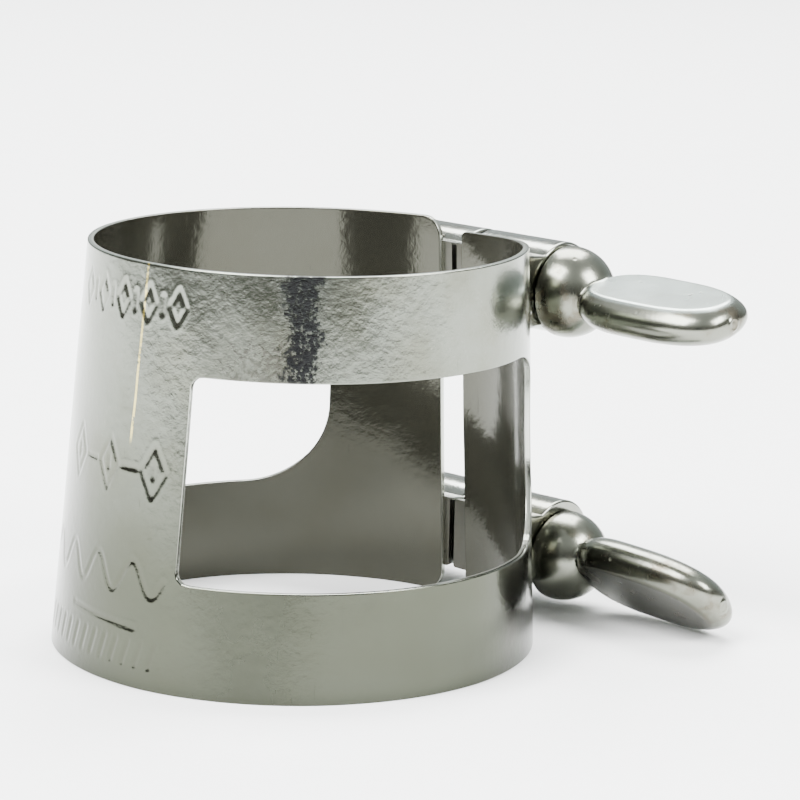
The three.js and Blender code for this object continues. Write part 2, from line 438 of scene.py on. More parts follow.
@dataclass
class Band:
    """The tapered sheet-metal band. Angles are in degrees from +X and lengths in millimetres."""

    height: float = 23.4
    wide_radius: float = 14.2
    narrow_radius: float = 12.45
    sheet: float = 0.38
    lean_x: float = 0.38
    lean_y: float = 0.36
    oval_wide: float = 0.19
    oval_narrow: float = -0.16
    oval_angle: float = -59.4
    dip: float = 0.65
    dip_from: float = 35.0
    split_half: float = 4.1
    round_corner: float = 1.3
    square_corner: float = 0.35
    near_strip: float = 40.4
    far_strip: float = 33.0
    window_bottom: float = 6.15
    window_top: float = 17.6
    plate_corner: float = 0.7
    strip_corner: float = 5.0
    plate_from: float = 224.1
    plate_to: float = 286.1
    edge: float = 0.075
    sharp: float = 62.0
    column_steps: tuple[float, ...] = (0.32, 0.42, 0.12, 0.42, 0.32)
    row_steps: tuple[float, ...] = (0.145, 0.145, 0.145)
    # The size, the turns round the band, the rise and the start of each ripple.
    ripples: tuple[tuple[float, float, float, float], ...] = (
        (0.012, 5, 0.21, 0.8),
        (0.009, 9, -0.33, 2.1),
        (0.006, 3, 0.55, 0.4),
        (0.004, 17, 0.9, 0.0),
    )
    marks: PressedMarks = PressedMarks()

    # --- the surface ---

    def cone_radius(self, z: Any) -> Any:
        """Outside radius of the straight, round cone at a height or heights."""
        return self.wide_radius + (self.narrow_radius - self.wide_radius) * z / self.height

    def arc_at(self, angle: float) -> float:
        """Place along the flat sheet of an angle in degrees. The sheet is measured from -Y."""
        return self.cone_radius(self.height / 2) * math.radians(angle + 90)

    def settle(self, angle: np.ndarray, radius: np.ndarray, z: np.ndarray) -> np.ndarray:
        """Takes points of the straight, round cone to the real band's surface.

        Args:
            angle: Angles from +X, in radians.
            radius: Distances from the axis.
            z: Heights.

        Returns:
            Rows of x, y and z.
        """
        share = z / self.height
        oval = self.oval_wide + (self.oval_narrow - self.oval_wide) * share
        r = radius + oval * np.cos(2 * (angle - math.radians(self.oval_angle)))
        turned = np.degrees((angle + math.pi) % (2 * math.pi) - math.pi)
        rise = np.clip((turned - self.dip_from) / (90 - self.dip_from), 0, 1)
        dip = np.where(turned < 90 - TINY, rise * rise * (3 - 2 * rise), 0)
        return np.stack(
            [
                r * np.cos(angle) + self.lean_x * share,
                r * np.sin(angle) + self.lean_y * share,
                z - self.dip * dip * share,
            ],
            axis=1,
        )

    def surface_point(self, angle: float, z: float, stand: float = 0.0) -> Vector:
        """A point of the outside at an angle in radians and a height, standing proud by a distance."""
        spot = self.settle(np.array([angle]), np.array([self.cone_radius(z) + stand]), np.array([z]))
        return Vector(spot[0])

    def handling_dents(self, angle: np.ndarray, z: np.ndarray) -> np.ndarray:
        """The slight waviness of a hand-finished sheet, as a change of radius."""
        waves = (size * np.sin(turns * angle + rise * z + start) for size, turns, rise, start in self.ripples)
        return sum(waves)

    # --- the flat sheet ---

    @property
    def breaks(self) -> tuple[float, float, float, float, float, float]:
        """Angles of the split's edge, the first window's ends, the second's, and the other edge."""
        first, last = 90 + self.split_half, 450 - self.split_half
        return first, first + self.far_strip, self.plate_from, self.plate_to, last - self.near_strip, last

    def corners(self) -> tuple[list[FlatCorner], list[FlatCorner]]:
        """The rounded corners of the windows, and those of the sheet itself."""
        first, far_start, far_end, near_start, near_end, last = (self.arc_at(a) for a in self.breaks)
        windows = []
        for u0, u1, start_r, end_r in (
            (far_start, far_end, self.strip_corner, self.plate_corner),
            (near_start, near_end, self.plate_corner, self.strip_corner),
        ):
            for v, sign_v in ((self.window_bottom, -1), (self.window_top, 1)):
                windows.append(FlatCorner(u0 + start_r, v - sign_v * start_r, start_r, -1, sign_v))
                windows.append(FlatCorner(u1 - end_r, v - sign_v * end_r, end_r, 1, sign_v))
        own = []
        for v, sign_v in ((0.0, -1), (self.height, 1)):
            r = self.round_corner
            own.append(FlatCorner(first + r, v - sign_v * r, r, -1, sign_v))
            r = self.square_corner
            own.append(FlatCorner(last - r, v - sign_v * r, r, 1, sign_v))
        return windows, own

    def windows_at(self, flat: np.ndarray) -> np.ndarray:
        """Which of the points lie in a window or beyond the sheet's own round corners."""
        windows, own = self.corners()
        gone = np.zeros(len(flat), bool)
        inside_height = (flat[:, 1] > self.window_bottom) & (flat[:, 1] < self.window_top)
        edges = [self.arc_at(a) for a in self.breaks]
        for start, end in (edges[1:3], edges[3:5]):
            gone |= inside_height & (flat[:, 0] > start) & (flat[:, 0] < end)
        for corner in windows:
            square, distance = corner.measure(flat)
            gone &= ~(square & (distance > corner.radius))
        for corner in own:
            square, distance = corner.measure(flat)
            gone |= square & (distance > corner.radius)
        return gone

    @staticmethod
    def ruled(breaks: Sequence[float], steps: Sequence[float]) -> np.ndarray:
        """Places from the first break to the last, no further apart than each stretch's step."""
        places = [np.array([breaks[0]])]
        for low, high, step in zip(breaks[:-1], breaks[1:], steps):
            places.append(np.linspace(low, high, max(1, math.ceil((high - low) / step)) + 1)[1:])
        return np.concatenate(places)

    def cut_sheet(self) -> bpy.types.Object:
        """Cuts the flat sheet, with its windows and corners, from a grid."""
        across = self.ruled([self.arc_at(a) for a in self.breaks], self.column_steps)
        up = self.ruled((0, self.window_bottom, self.window_top, self.height), self.row_steps)
        Bench.clear_selection()
        bpy.ops.mesh.primitive_grid_add(x_subdivisions=len(across) - 1, y_subdivisions=len(up) - 1, size=1)
        sheet = Bench.adopt("band_sheet")
        points = Bench.points(sheet)
        points[:, 0] = across[np.rint((points[:, 0] + 0.5) * (len(across) - 1)).astype(int)]
        points[:, 1] = up[np.rint((points[:, 1] + 0.5) * (len(up) - 1)).astype(int)]
        Bench.set_points(sheet, points)
        centres = np.array([face.center[:2] for face in sheet.data.polygons])
        Bench.select_faces(sheet, self.windows_at(centres))
        bpy.ops.mesh.delete(type="FACE")
        Bench.close()
        self.round_corners(sheet)
        return sheet

    def round_corners(self, sheet: bpy.types.Object) -> None:
        """Moves the stepped rim of each corner to its arc."""
        uses = np.zeros(len(sheet.data.edges), int)
        loop_edges = np.empty(len(sheet.data.loops), int)
        sheet.data.loops.foreach_get("edge_index", loop_edges)
        np.add.at(uses, loop_edges, 1)
        ends = np.empty(len(sheet.data.edges) * 2, int)
        sheet.data.edges.foreach_get("vertices", ends)
        rim = np.zeros(len(sheet.data.vertices), bool)
        rim[ends.reshape(-1, 2)[uses == 1].ravel()] = True
        points = Bench.points(sheet)
        windows, own = self.corners()
        for corner in windows + own:
            corner.snap(points, rim)
        Bench.set_points(sheet, points)

    def roll(self, sheet: bpy.types.Object) -> None:
        """Rolls the flat, thick sheet into the band and presses the marks into its outside."""
        points = Bench.points(sheet)
        depth = -points[:, 2]
        outer = depth < self.edge * 0.5
        angle = points[:, 0] / self.cone_radius(self.height / 2) - math.pi / 2
        z = points[:, 1]
        plate_start, plate_end = self.arc_at(self.plate_from), self.arc_at(self.plate_to)
        plate = outer & (points[:, 0] > plate_start) & (points[:, 0] < plate_end)
        pressed = np.zeros(len(points))
        pressed[plate] = self.marks.depth_at(points[plate, :2], self.arc_at)
        radius = self.cone_radius(z) - depth - pressed + self.handling_dents(angle, z)
        Bench.set_points(sheet, self.settle(angle, radius, z))
        Bench.store(sheet, "inside", np.clip(depth / self.sheet, 0, 1))
        Bench.store(sheet, "pressed", np.clip(pressed / self.marks.depth, 0, 1))

    def build(self) -> bpy.types.Object:
        """Makes the band."""
        sheet = self.cut_sheet()
        Bench.apply(sheet, "SOLIDIFY", thickness=self.sheet, offset=-1, use_even_offset=False)
        Bench.round_edges(sheet, self.edge, use_clamp_overlap=False)
        self.roll(sheet)
        sheet.name = "ligature_band"
        return Bench.finish(sheet, self.sharp, Slot.BAND, BAND_BODY, "band")

    def filling(self, stand: float) -> bpy.types.Object:
        """A solid of the band's outside and all within it, standing proud by a distance."""
        over = 1.0  # past both rims
        Bench.clear_selection()
        bpy.ops.mesh.primitive_cylinder_add(vertices=180, radius=1, depth=2, end_fill_type="NGON")
        core = Bench.adopt("band_filling")
        points = Bench.points(core)
        z = np.where(points[:, 2] > 0, self.height + over, -over)
        angle = np.arctan2(points[:, 1], points[:, 0])
        Bench.set_points(core, self.settle(angle, self.cone_radius(z) + stand, z))
        return core


# ---------------------------------------------------------------------------
# Lugs and thumb screws
# ---------------------------------------------------------------------------


@dataclass(frozen=True)
class Station:
    """Where one thumb screw and its two lugs sit."""

    name: str
    height: float
    seat: float
    droop: float
    paddle_turn: float
    lug_radius: float = 2.72
    lug_length: float = 6.0
    lug_gap: float = 0.4

    @property
    def pivot(self) -> float:
        """The middle of the threaded lug, from the split. The screw droops from there."""
        return self.seat - 1.5 * self.lug_length - self.lug_gap

    def centre(self, band: Band) -> Vector:
        """The centre of the lugs, straight out from the split."""
        spot = band.surface_point(math.radians(90), self.height)
        return Vector((spot.x, spot.y + self.lug_radius, self.height))

    def screw_place(self, band: Band) -> Matrix:
        """Takes a piece drawn along +X from the pivot to its drooping place."""
        place = self.centre(band) + Vector((self.pivot, 0, 0))
        return Matrix.Translation(place) @ Matrix.Rotation(math.radians(self.droop), 4, "Y")

    def spot(self, band: Band, along: float) -> Vector:
        """A point on the screw's axis at a distance from the split."""
        return self.screw_place(band) @ Vector((along - self.pivot, 0, 0))

    def direction(self) -> Vector:
        """The way the screw points."""
        return Matrix.Rotation(math.radians(self.droop), 3, "Y") @ Vector((1, 0, 0))


@dataclass
class Lug:
    """A barrel lug with its flared foot, its hole and the solder around its foot."""

    station: Station
    kind: LugKind
    waist: float = 2.1
    foot_half: float = 2.7
    depth: float = 5.6
    edge: float = 0.16
    plain_bore: float = 1.8
    threaded_bore: float = 1.36
    countersink: float = 0.28
    sharp: float = 32.0
    lap: float = 0.06
    bead: float = 0.24
    bead_lift: float = 0.04
    bead_inset: float = 0.05
    bead_share: float = 0.93
    bead_corner: float = 0.55
    bead_waviness: float = 0.12
    bead_taper: float = 0.25

    @property
    def node(self) -> str:
        """The CAD node that the lug stands for."""
        return f"{self.station.name}_{self.kind.value}_lug"

    def ends(self) -> tuple[float, float]:
        """Where the lug starts and ends, from the split."""
        station = self.station
        seat = station.seat
        if self.kind is LugKind.THREADED:
            seat -= station.lug_length + station.lug_gap
        return seat - station.lug_length, seat

    def outline(self) -> list[Point]:
        """The lug's section, as outwards and upwards distances from the barrel's centre."""
        radius = self.station.lug_radius
        shoulder = math.pi - math.asin(self.waist / radius)
        waist_depth = -math.sqrt(radius**2 - self.waist**2)
        arc_steps, foot_steps = 84, 9
        points = [
            (radius * math.cos(a), radius * math.sin(a))
            for a in np.linspace(-shoulder, shoulder, arc_steps + 1)
        ]
        for side in (1, -1):
            foot = []
            for t in np.linspace(0, 1, foot_steps + 1)[1:]:
                # A quadratic curve from the waist to the foot, upright where it leaves the barrel.
                x = (1 - t) ** 2 * waist_depth + 2 * t * (1 - t) * (waist_depth - 1) - t**2 * self.depth
                y = (1 - t) ** 2 * self.waist + 2 * t * (1 - t) * self.waist + t**2 * self.foot_half
                foot.append((x, side * y))
            points += foot if side > 0 else foot[::-1]
        return points

    def barrel(self, band: Band) -> bpy.types.Object:
        """The lug's outside, extruded along the split's tangent and faced square to the screw."""
        centre = self.station.centre(band)
        outline = self.outline()
        start, end = self.ends()
        over = 1.5
        Bench.clear_selection()
        bpy.ops.mesh.primitive_circle_add(vertices=len(outline), radius=1, fill_type="NGON")
        lug = Bench.adopt(self.node + "_body")
        section = [(centre.x + start - over, centre.y + out, centre.z + up) for out, up in outline]
        Bench.set_points(lug, np.array(section))
        Bench.edit(lug)
        length = end - start + 2 * over
        bpy.ops.mesh.extrude_region_move(TRANSFORM_OT_translate={"value": (length, 0, 0)})
        bpy.ops.mesh.select_all(action="SELECT")
        bpy.ops.mesh.normals_make_consistent(inside=False)
        Bench.close()
        along = self.station.direction()
        Bench.slice(lug, self.station.spot(band, end), along)
        Bench.slice(lug, self.station.spot(band, start), -along)
        Bench.face_out(lug)
        return lug

    def bore_tool(self, band: Band) -> bpy.types.Object:
        """A cutter for the hole and the countersinks at its mouths."""
        start, end = self.ends()
        radius = self.plain_bore if self.kind is LugKind.PLAIN else self.threaded_bore
        Bench.clear_selection()
        bpy.ops.mesh.primitive_cylinder_add(
            vertices=72,
            radius=radius,
            depth=end - start,
            rotation=(0, QUARTER_TURN, 0),
            end_fill_type="NGON",
        )
        bpy.ops.object.transform_apply(location=True, rotation=True, scale=True)
        tool = Bench.adopt("bore_tool")
        reach = 2 * self.countersink
        widen = (radius + reach) / radius
        for side in (-1, 1):
            normals = np.array([face.normal.x for face in tool.data.polygons])
            Bench.select_faces(tool, normals * side > 0.9)
            bpy.ops.transform.translate(value=(-side * self.countersink, 0, 0))
            bpy.ops.mesh.extrude_region_move(TRANSFORM_OT_translate={"value": (side * reach, 0, 0)})
            bpy.ops.transform.resize(value=(1, widen, widen))
            Bench.close()
        tool.data.transform(Matrix.Translation(((start + end) / 2 - self.station.pivot, 0, 0)))
        tool.data.transform(self.station.screw_place(band))
        Bench.face_out(tool)
        return tool

    def solder_path(self, band: Band) -> list[Vector]:
        """The middle of the bead: from the split, round the foot's outer end, and back."""
        start, end = self.ends()
        way, far = (1, end) if self.kind is LugKind.PLAIN else (-1, -start)
        half_high = self.foot_half * self.bead_share
        height = self.station.spot(band, (start + end) / 2).z
        split = band.cone_radius(height) * math.sin(math.radians(band.split_half))
        corner, steps, run_steps = self.bead_corner, 6, 12
        out, up = far - self.bead_inset - corner, half_high - corner
        flat: list[Point] = [(split + self.bead, half_high)]
        for side in (1, -1):
            for i in range(steps + 1):
                turn = QUARTER_TURN * (1 - i / steps if side > 0 else -i / steps)
                flat.append((out + corner * math.cos(turn), side * up + corner * math.sin(turn)))
        flat.append((split + self.bead, -half_high))
        path: list[Vector] = []
        for (x0, z0), (x1, z1) in zip(flat, flat[1:]):
            pieces = run_steps if math.hypot(x1 - x0, z1 - z0) > 1 else 1
            for i in range(pieces):
                z = height + max(z0 + (z1 - z0) * i / pieces, self.bead - height)
                across = self.station.centre(band).x + way * (x0 + (x1 - x0) * i / pieces)
                angle = QUARTER_TURN - math.asin(across / band.cone_radius(z))
                path.append(band.surface_point(angle, z, self.bead_lift))
        return path

    def solder(self, band: Band) -> bpy.types.Object:
        """The bead of solder that runs round the foot, on the band."""
        path = self.solder_path(band)
        curve = bpy.data.curves.new("solder_path", "CURVE")
        curve.dimensions = "3D"
        curve.bevel_depth = self.bead
        curve.bevel_resolution = 5
        curve.use_fill_caps = True
        spline = curve.splines.new("POLY")
        spline.points.add(len(path) - 1)
        for index, (point, place) in enumerate(zip(spline.points, path)):
            point.co = (*place, 1)
            from_tip = min(index, len(path) - 1 - index)
            wave = self.bead_waviness * math.sin(1.1 * index + self.station.height) * math.cos(0.4 * index)
            point.radius = min(1.0, self.bead_taper * (1 + from_tip)) * (1 + wave)
        bead = bpy.data.objects.new("solder_bead", curve)
        bpy.context.scene.collection.objects.link(bead)
        Bench.activate(bead)
        bpy.ops.object.convert(target="MESH")
        Bench.face_out(bpy.context.object)
        return bpy.context.object

    def build(self, band: Band) -> bpy.types.Object:
        """Makes the lug."""
        lug = self.barrel(band)
        Bench.round_edges(lug, self.edge)
        Bench.cut(lug, self.bore_tool(band))
        Bench.cut(lug, band.filling(-self.lap))
        bead = self.solder(band)
        Bench.clear_selection()
        bead.select_set(True)
        lug.select_set(True)
        bpy.context.view_layer.objects.active = lug
        bpy.ops.object.join()
        return Bench.finish(lug, self.sharp, Slot.LUG, BAND_BODY, self.node)


@dataclass
class Shank:
    """The threaded shank of a thumb screw."""

    station: Station
    radius: float = 1.3
    root: float = 1.1
    pitch: float = 0.7
    beyond: float = 0.8
    socket: float = 1.8
    seat_clear: float = 0.05
    lead: float = 0.4
    sharp: float = 35.0
    turn_steps: int = 48

    @property
    def node(self) -> str:
        """The CAD node that the shank stands for."""
        return f"{self.station.name}_screw_shank"

    def build(self, band: Band) -> bpy.types.Object:
        """Makes the shank by winding one tooth's profile round the axis."""
        station = self.station
        tip = -station.lug_length / 2 - self.beyond
        end = station.seat - station.pivot + self.seat_clear + self.socket
        shoulder = self.radius - 0.01
        profile = (
            (0.0, self.root),
            (0.10, self.root),
            (0.30, shoulder),
            (0.35, self.radius),
            (0.40, shoulder),
            (0.60, self.root),
            (self.pitch, self.root),
        )
        Bench.clear_selection()
        bpy.ops.mesh.primitive_circle_add(vertices=len(profile), radius=1, fill_type="NOTHING")
        shank = Bench.adopt(self.node + "_thread")
        Bench.set_points(shank, np.array([(tip - 2 * self.pitch + x, 0, r) for x, r in profile]))
        Bench.edit(shank, "EDGE")
        bpy.ops.mesh.select_all(action="DESELECT")
        Bench.close()
        for edge in shank.data.edges:
            edge.select = set(edge.vertices) == {0, len(profile) - 1}
        bpy.ops.object.mode_set(mode="EDIT")
        bpy.ops.mesh.delete(type="EDGE")
        Bench.close()
        turns = math.ceil((end - tip) / self.pitch) + 4
        Bench.apply(
            shank,
            "SCREW",
            axis="X",
            angle=2 * math.pi,
            screw_offset=self.pitch,
            iterations=turns,
            steps=self.turn_steps,
            render_steps=self.turn_steps,
            use_merge_vertices=False,
        )
        Bench.face_out(shank, 1e-3)
        Bench.slice(shank, Vector((end, 0, 0)), Vector((1, 0, 0)))
        Bench.slice(shank, Vector((tip, 0, 0)), Vector((-1, 0, 0)))
        points = Bench.points(shank)
        reach = np.hypot(points[:, 1], points[:, 2])
        most = np.minimum(self.radius, self.radius - self.lead + np.maximum(points[:, 0] - tip, 0))
        points[:, 1:] *= np.minimum(1, most / np.maximum(reach, TINY))[:, None]
        Bench.set_points(shank, points)
        Bench.face_out(shank)
        shank.data.transform(station.screw_place(band))
        body = f"{station.name}_shank_body"
        return Bench.finish(shank, self.sharp, Slot.SHANK, body, self.node, weigh=False)


@dataclass
class Head:
    """The head of a thumb screw: a ball with a flat shoulder, and an egg-shaped paddle."""

    station: Station
    ball_radius: float = 2.72
    ball_centre: float = 0.45
    seat_clear: float = 0.05
    shoulder_edge: float = 0.16
    paddle_start: float = 2.4
    paddle_widest: float = 7.0
    paddle_tip: float = 12.75
    paddle_half_width: float = 3.2
    paddle_crown: float = 1.7
    half_thickness: float = 1.1
    near_power: float = 3.0
    far_power: float = 2.9
    crown_far_power: float = 2.6
    face_fillet: float = 0.07
    root_fillet: float = 0.3
    pip_lift: float = 0.05
    face_from: float = 3.0
    sharp: float = 60.0
    segments: int = 192
    disc_rings: int = 10
    rim_rings: int = 8
    body_rings: int = 182

    @property
    def node(self) -> str:
        """The CAD node that the head stands for."""
        return f"{self.station.name}_screw_head"

    def egg(self, x: np.ndarray, far_power: float) -> np.ndarray:
        """How full the paddle's egg is, from 0 to 1, at distances from the shoulder."""
        near = x < self.paddle_widest
        reach = np.where(near, self.paddle_widest - self.paddle_start, self.paddle_tip - self.paddle_widest)
        power = np.where(near, self.near_power, far_power)
        along = np.clip(np.abs(x - self.paddle_widest) / reach, 0, 1)
        return (1 - along**power) ** (1 / power)

    def ball(self, x: np.ndarray) -> np.ndarray:
        """Radius of the ball at distances from the shoulder, with its shoulder's edge rounded."""
        sphere = np.sqrt(np.clip(self.ball_radius**2 - (x - self.ball_centre) ** 2, 0, None))
        edge = self.shoulder_edge
        rounding = edge - np.sqrt(np.clip(edge**2 - np.clip(edge - x, 0, edge) ** 2, 0, None))
        return np.clip(sphere - rounding, 0, None)

    @staticmethod
    def soft_max(a: np.ndarray, b: np.ndarray, k: float) -> np.ndarray:
        """The larger of two lengths, with a fillet of about k where they cross."""
        h = np.clip(0.5 + 0.5 * (a - b) / k, 0, 1)
        return b + (a - b) * h + k * h * (1 - h)

    def reach(self, x: np.ndarray, angle: np.ndarray) -> np.ndarray:
        """How far the surface lies from the axis.

        Args:
            x: Distances from the shoulder.
            angle: Angles about the axis, from the paddle's broad direction.

        Returns:
            A distance for each point.
        """
        wide = np.maximum(self.paddle_half_width * self.egg(x, self.far_power), TINY)
        thick = np.maximum(self.paddle_crown * self.egg(x, self.crown_far_power), TINY)
        egg = 1 / np.hypot(np.cos(angle) / wide, np.sin(angle) / thick)
        flat = self.half_thickness / np.maximum(np.abs(np.sin(angle)), 1e-3)
        faced = np.clip(-self.soft_max(-egg, -flat, self.face_fillet), 0, None)
        return self.soft_max(self.ball(x), np.where(egg < 1e-5, 0, faced), self.root_fillet)

    def stations(self) -> tuple[np.ndarray, np.ndarray]:
        """The rings from the shoulder's middle to the tip.

        Returns:
            Each ring's distance from the shoulder, and its share of the surface's reach there.
        """
        disc = np.linspace(0, 1, self.disc_rings, endpoint=False)
        turn = np.linspace(0, QUARTER_TURN, self.rim_rings, endpoint=False)
        rim = self.shoulder_edge * (1 - np.cos(turn))
        turn = np.linspace(0, QUARTER_TURN, self.body_rings)
        body = self.shoulder_edge + (self.paddle_tip - self.shoulder_edge) * np.sin(turn)
        x = np.concatenate([np.zeros(self.disc_rings), rim, body])
        share = np.concatenate([disc, np.ones(len(rim) + len(body))])
        return x, share

    def tip_pip(self, x: np.ndarray, reach: np.ndarray) -> np.ndarray:
        """How far the small casting pip lifts the tip."""
        ring = np.exp(-(((reach - 0.36) / 0.09) ** 2)) + 0.5 * np.exp(-((reach / 0.2) ** 2))
        return np.where(x > self.paddle_widest, self.pip_lift * ring, 0)

    def painted_light_share(self, points: np.ndarray) -> np.ndarray:
        """How much painted light each point gets: 1 on the face turned up, 0.45 on the flanks, 0 on the face
        below.
        """
        broad = np.clip((np.abs(points[:, 2]) - 0.86) / 0.2, 0, 1) * (points[:, 0] > self.face_from)
        return 0.45 + broad * np.where(points[:, 2] > 0, 0.55, -0.45)

    def build(self, band: Band) -> bpy.types.Object:
        """Makes the head from a sphere whose rings are laid along the head."""
        station = self.station
        x, share = self.stations()
        rings = len(x)
        Bench.clear_selection()
        bpy.ops.mesh.primitive_uv_sphere_add(segments=self.segments, ring_count=rings - 1, radius=1)
        head = Bench.adopt(self.node + "_cast")
        points = Bench.points(head)
        polar = np.arccos(np.clip(-points[:, 2], -1, 1))
        index = np.rint(polar / math.pi * (rings - 1)).astype(int)
        angle = np.arctan2(points[:, 1], points[:, 0])
        at = x[index]
        reach = self.reach(at, angle) * share[index]
        reach[(index == 0) | (index == rings - 1)] = 0
        along = at + self.tip_pip(at, reach)
        laid = np.stack([along, reach * np.cos(angle), reach * np.sin(angle)], axis=1)
        Bench.set_points(head, laid)
        # Painted light and shade over the head: the face turned up bright, the flanks and the face below
        # darker.
        Bench.store(head, "painted_light", self.painted_light_share(laid))
        Bench.face_out(head, 1e-5)
        seat = station.seat - station.pivot + self.seat_clear
        place = station.screw_place(band) @ Matrix.Translation((seat, 0, 0))
        head.data.transform(place @ Matrix.Rotation(math.radians(station.paddle_turn), 4, "X"))
        body = f"{station.name}_head_body"
        return Bench.finish(head, self.sharp, Slot.HEAD, body, self.node, weigh=False)


# ---------------------------------------------------------------------------
# Materials
# ---------------------------------------------------------------------------


class Field:
    """A number that varies over a surface, used in Python expressions."""

    def __init__(self, graph: "Graph", socket: Any) -> None:
        """Wraps an output socket of a graph."""
        self.graph = graph
        self.socket = socket

    def _with(self, operation: str, first: Any, second: Any) -> "Field":
        """Adds one Math node."""
        node = self.graph.node("ShaderNodeMath", {"operation": operation}, {0: first, 1: second})
        return Field(self.graph, node.outputs[0])

    def __add__(self, other: Any) -> "Field":
        """self + other."""
        return self._with("ADD", self, other)

    __radd__ = __add__

    def __sub__(self, other: Any) -> "Field":
        """self - other."""
        return self._with("SUBTRACT", self, other)

    def __rsub__(self, other: Any) -> "Field":
        """other - self."""
        return self._with("SUBTRACT", other, self)

    def __mul__(self, other: Any) -> "Field":
        """self * other."""
        return self._with("MULTIPLY", self, other)

    __rmul__ = __mul__

    def __pow__(self, other: Any) -> "Field":
        """self ** other."""
        return self._with("POWER", self, other)

    def __abs__(self) -> "Field":
        """abs(self)."""
        return self._with("ABSOLUTE", self, 0.0)

    def angle_from(self, x: "Field") -> "Field":
        """The angle whose tangent is self / x."""
        return self._with("ARCTAN2", self, x)

    def ramp(self, low: float, high: float) -> "Field":
        """0 below low, 1 above high, and a smooth step between. low may be above high."""
        settings = {"interpolation_type": "SMOOTHSTEP", "clamp": True}
        start, end, first, last = (low, high, 0.0, 1.0) if low < high else (high, low, 1.0, 0.0)
        values = {"Value": self, "From Min": start, "From Max": end, "To Min": first, "To Max": last}
        return Field(self.graph, self.graph.node("ShaderNodeMapRange", settings, values).outputs[0])


class Graph:
    """A node tree, with the few calls that the finishes and the room need."""

    def __init__(self, owner: bpy.types.Material | bpy.types.World) -> None:
        """Starts the owner's tree afresh."""
        owner.use_nodes = True
        self.tree = owner.node_tree
        self.tree.nodes.clear()

    def node(self, kind: str, settings: dict[str, Any], values: dict[Any, Any]) -> bpy.types.Node:
        """Adds a node.

        Args:
            kind: The node's type.
            settings: Its own settings, by name.
            values: What goes into its sockets, by name or number: a number, a colour, a socket
                or a Field.

        Returns:
            The node.
        """
        node = self.tree.nodes.new(kind)
        for key, value in settings.items():
            setattr(node, key, value)
        for key, value in values.items():
            self.feed(node.inputs[key], value)
        return node

    def feed(self, socket: Any, value: Any) -> None:
        """Sets a socket, or links something to it."""
        if isinstance(value, Field):
            self.tree.links.new(value.socket, socket)
        elif isinstance(value, bpy.types.NodeSocket):
            self.tree.links.new(value, socket)
        else:
            socket.default_value = value

    def place(self, stretch: Sequence[float] = (1, 1, 1), shift: Sequence[float] = (0, 0, 0)) -> Any:
        """The place on the piece in millimetres, stretched and shifted."""
        where = self.node("ShaderNodeTexCoord", {}, {})
        values = {
            "Vector": where.outputs["Object"],
            "Scale": [s / MILLIMETRE for s in stretch],
            "Location": list(shift),
        }
        return self.node("ShaderNodeMapping", {}, values).outputs[0]

    def axes(self, vector: Any = None) -> tuple[Field, ...]:
        """A vector as three numbers: if none is given, the place on the piece in millimetres."""
        split = self.node("ShaderNodeSeparateXYZ", {}, {0: vector or self.place()})
        return tuple(Field(self, split.outputs[i]) for i in range(3))

    def noise(
        self,
        size: float,
        detail: float,
        rough: float,
        shift: float,
        stretch: Sequence[float] = (1, 1, 1),
        distortion: float = 0.0,
    ) -> Field:
        """Soft noise from 0 to 1.

        Args:
            size: About how large its features are, in millimetres.
            detail: How many finer layers it has.
            rough: How strong the finer layers are.
            shift: How far it is moved, so that no two are alike.
            stretch: Its frequency along each axis.
            distortion: How far it is swirled.

        Returns:
            The noise.
        """
        values = {
            "Vector": self.place(stretch, (shift, shift * 0.7, -shift)),
            "Scale": 1 / size,
            "Detail": detail,
            "Roughness": rough,
            "Distortion": distortion,
        }
        return Field(self, self.node("ShaderNodeTexNoise", {}, values).outputs[0])

    def cells(self, size: float, shift: float = 0.0) -> Field:
        """Distance from the nearest of many scattered points, in cells."""
        values = {"Vector": self.place((1, 1, 1), (shift, shift, shift)), "Scale": 1 / size}
        return Field(self, self.node("ShaderNodeTexVoronoi", {}, values).outputs["Distance"])

    def attribute(self, name: str) -> Field:
        """A number stored on the piece's own vertices."""
        return Field(self, self.node("ShaderNodeAttribute", {"attribute_name": name}, {}).outputs["Fac"])

    def mix(self, share: Any, first: Any, second: Any) -> Any:
        """A colour between two colours."""
        node = self.node("ShaderNodeMix", {"data_type": "RGBA"}, {0: share, 6: first, 7: second})
        return node.outputs[2]

    def bump(self, height: Field, depth: float, below: Any = None) -> Any:
        """A Bump node.

        Args:
            height: The relief, from 0 to 1.
            depth: The relief's full depth in millimetres.
            below: A normal to add it to.

        Returns:
            The new normal.
        """
        values: dict[Any, Any] = {"Height": height, "Distance": depth * MILLIMETRE, "Strength": 1.0}
        if below is not None:
            values["Normal"] = below
        return self.node("ShaderNodeBump", {}, values).outputs[0]


class Surface(Graph):
    """A material's node tree, with its shader and output in place."""

    def __init__(self, name: str) -> None:
        """Starts a material."""
        self.material = bpy.data.materials.new(name)
        super().__init__(self.material)
        self.shader = self.node("ShaderNodeBsdfPrincipled", {}, {})
        self.node("ShaderNodeOutputMaterial", {}, {0: self.shader.outputs[0]})

    def shade(self, **values: Any) -> None:
        """Feeds the shader's sockets, each named with underscores for spaces."""
        for name, value in values.items():
            self.feed(self.shader.inputs[name.replace("_", " ")], value)


def rgba(colour: Colour) -> tuple[float, float, float, float]:
    """A colour with full alpha."""
    return (*colour, 1.0)


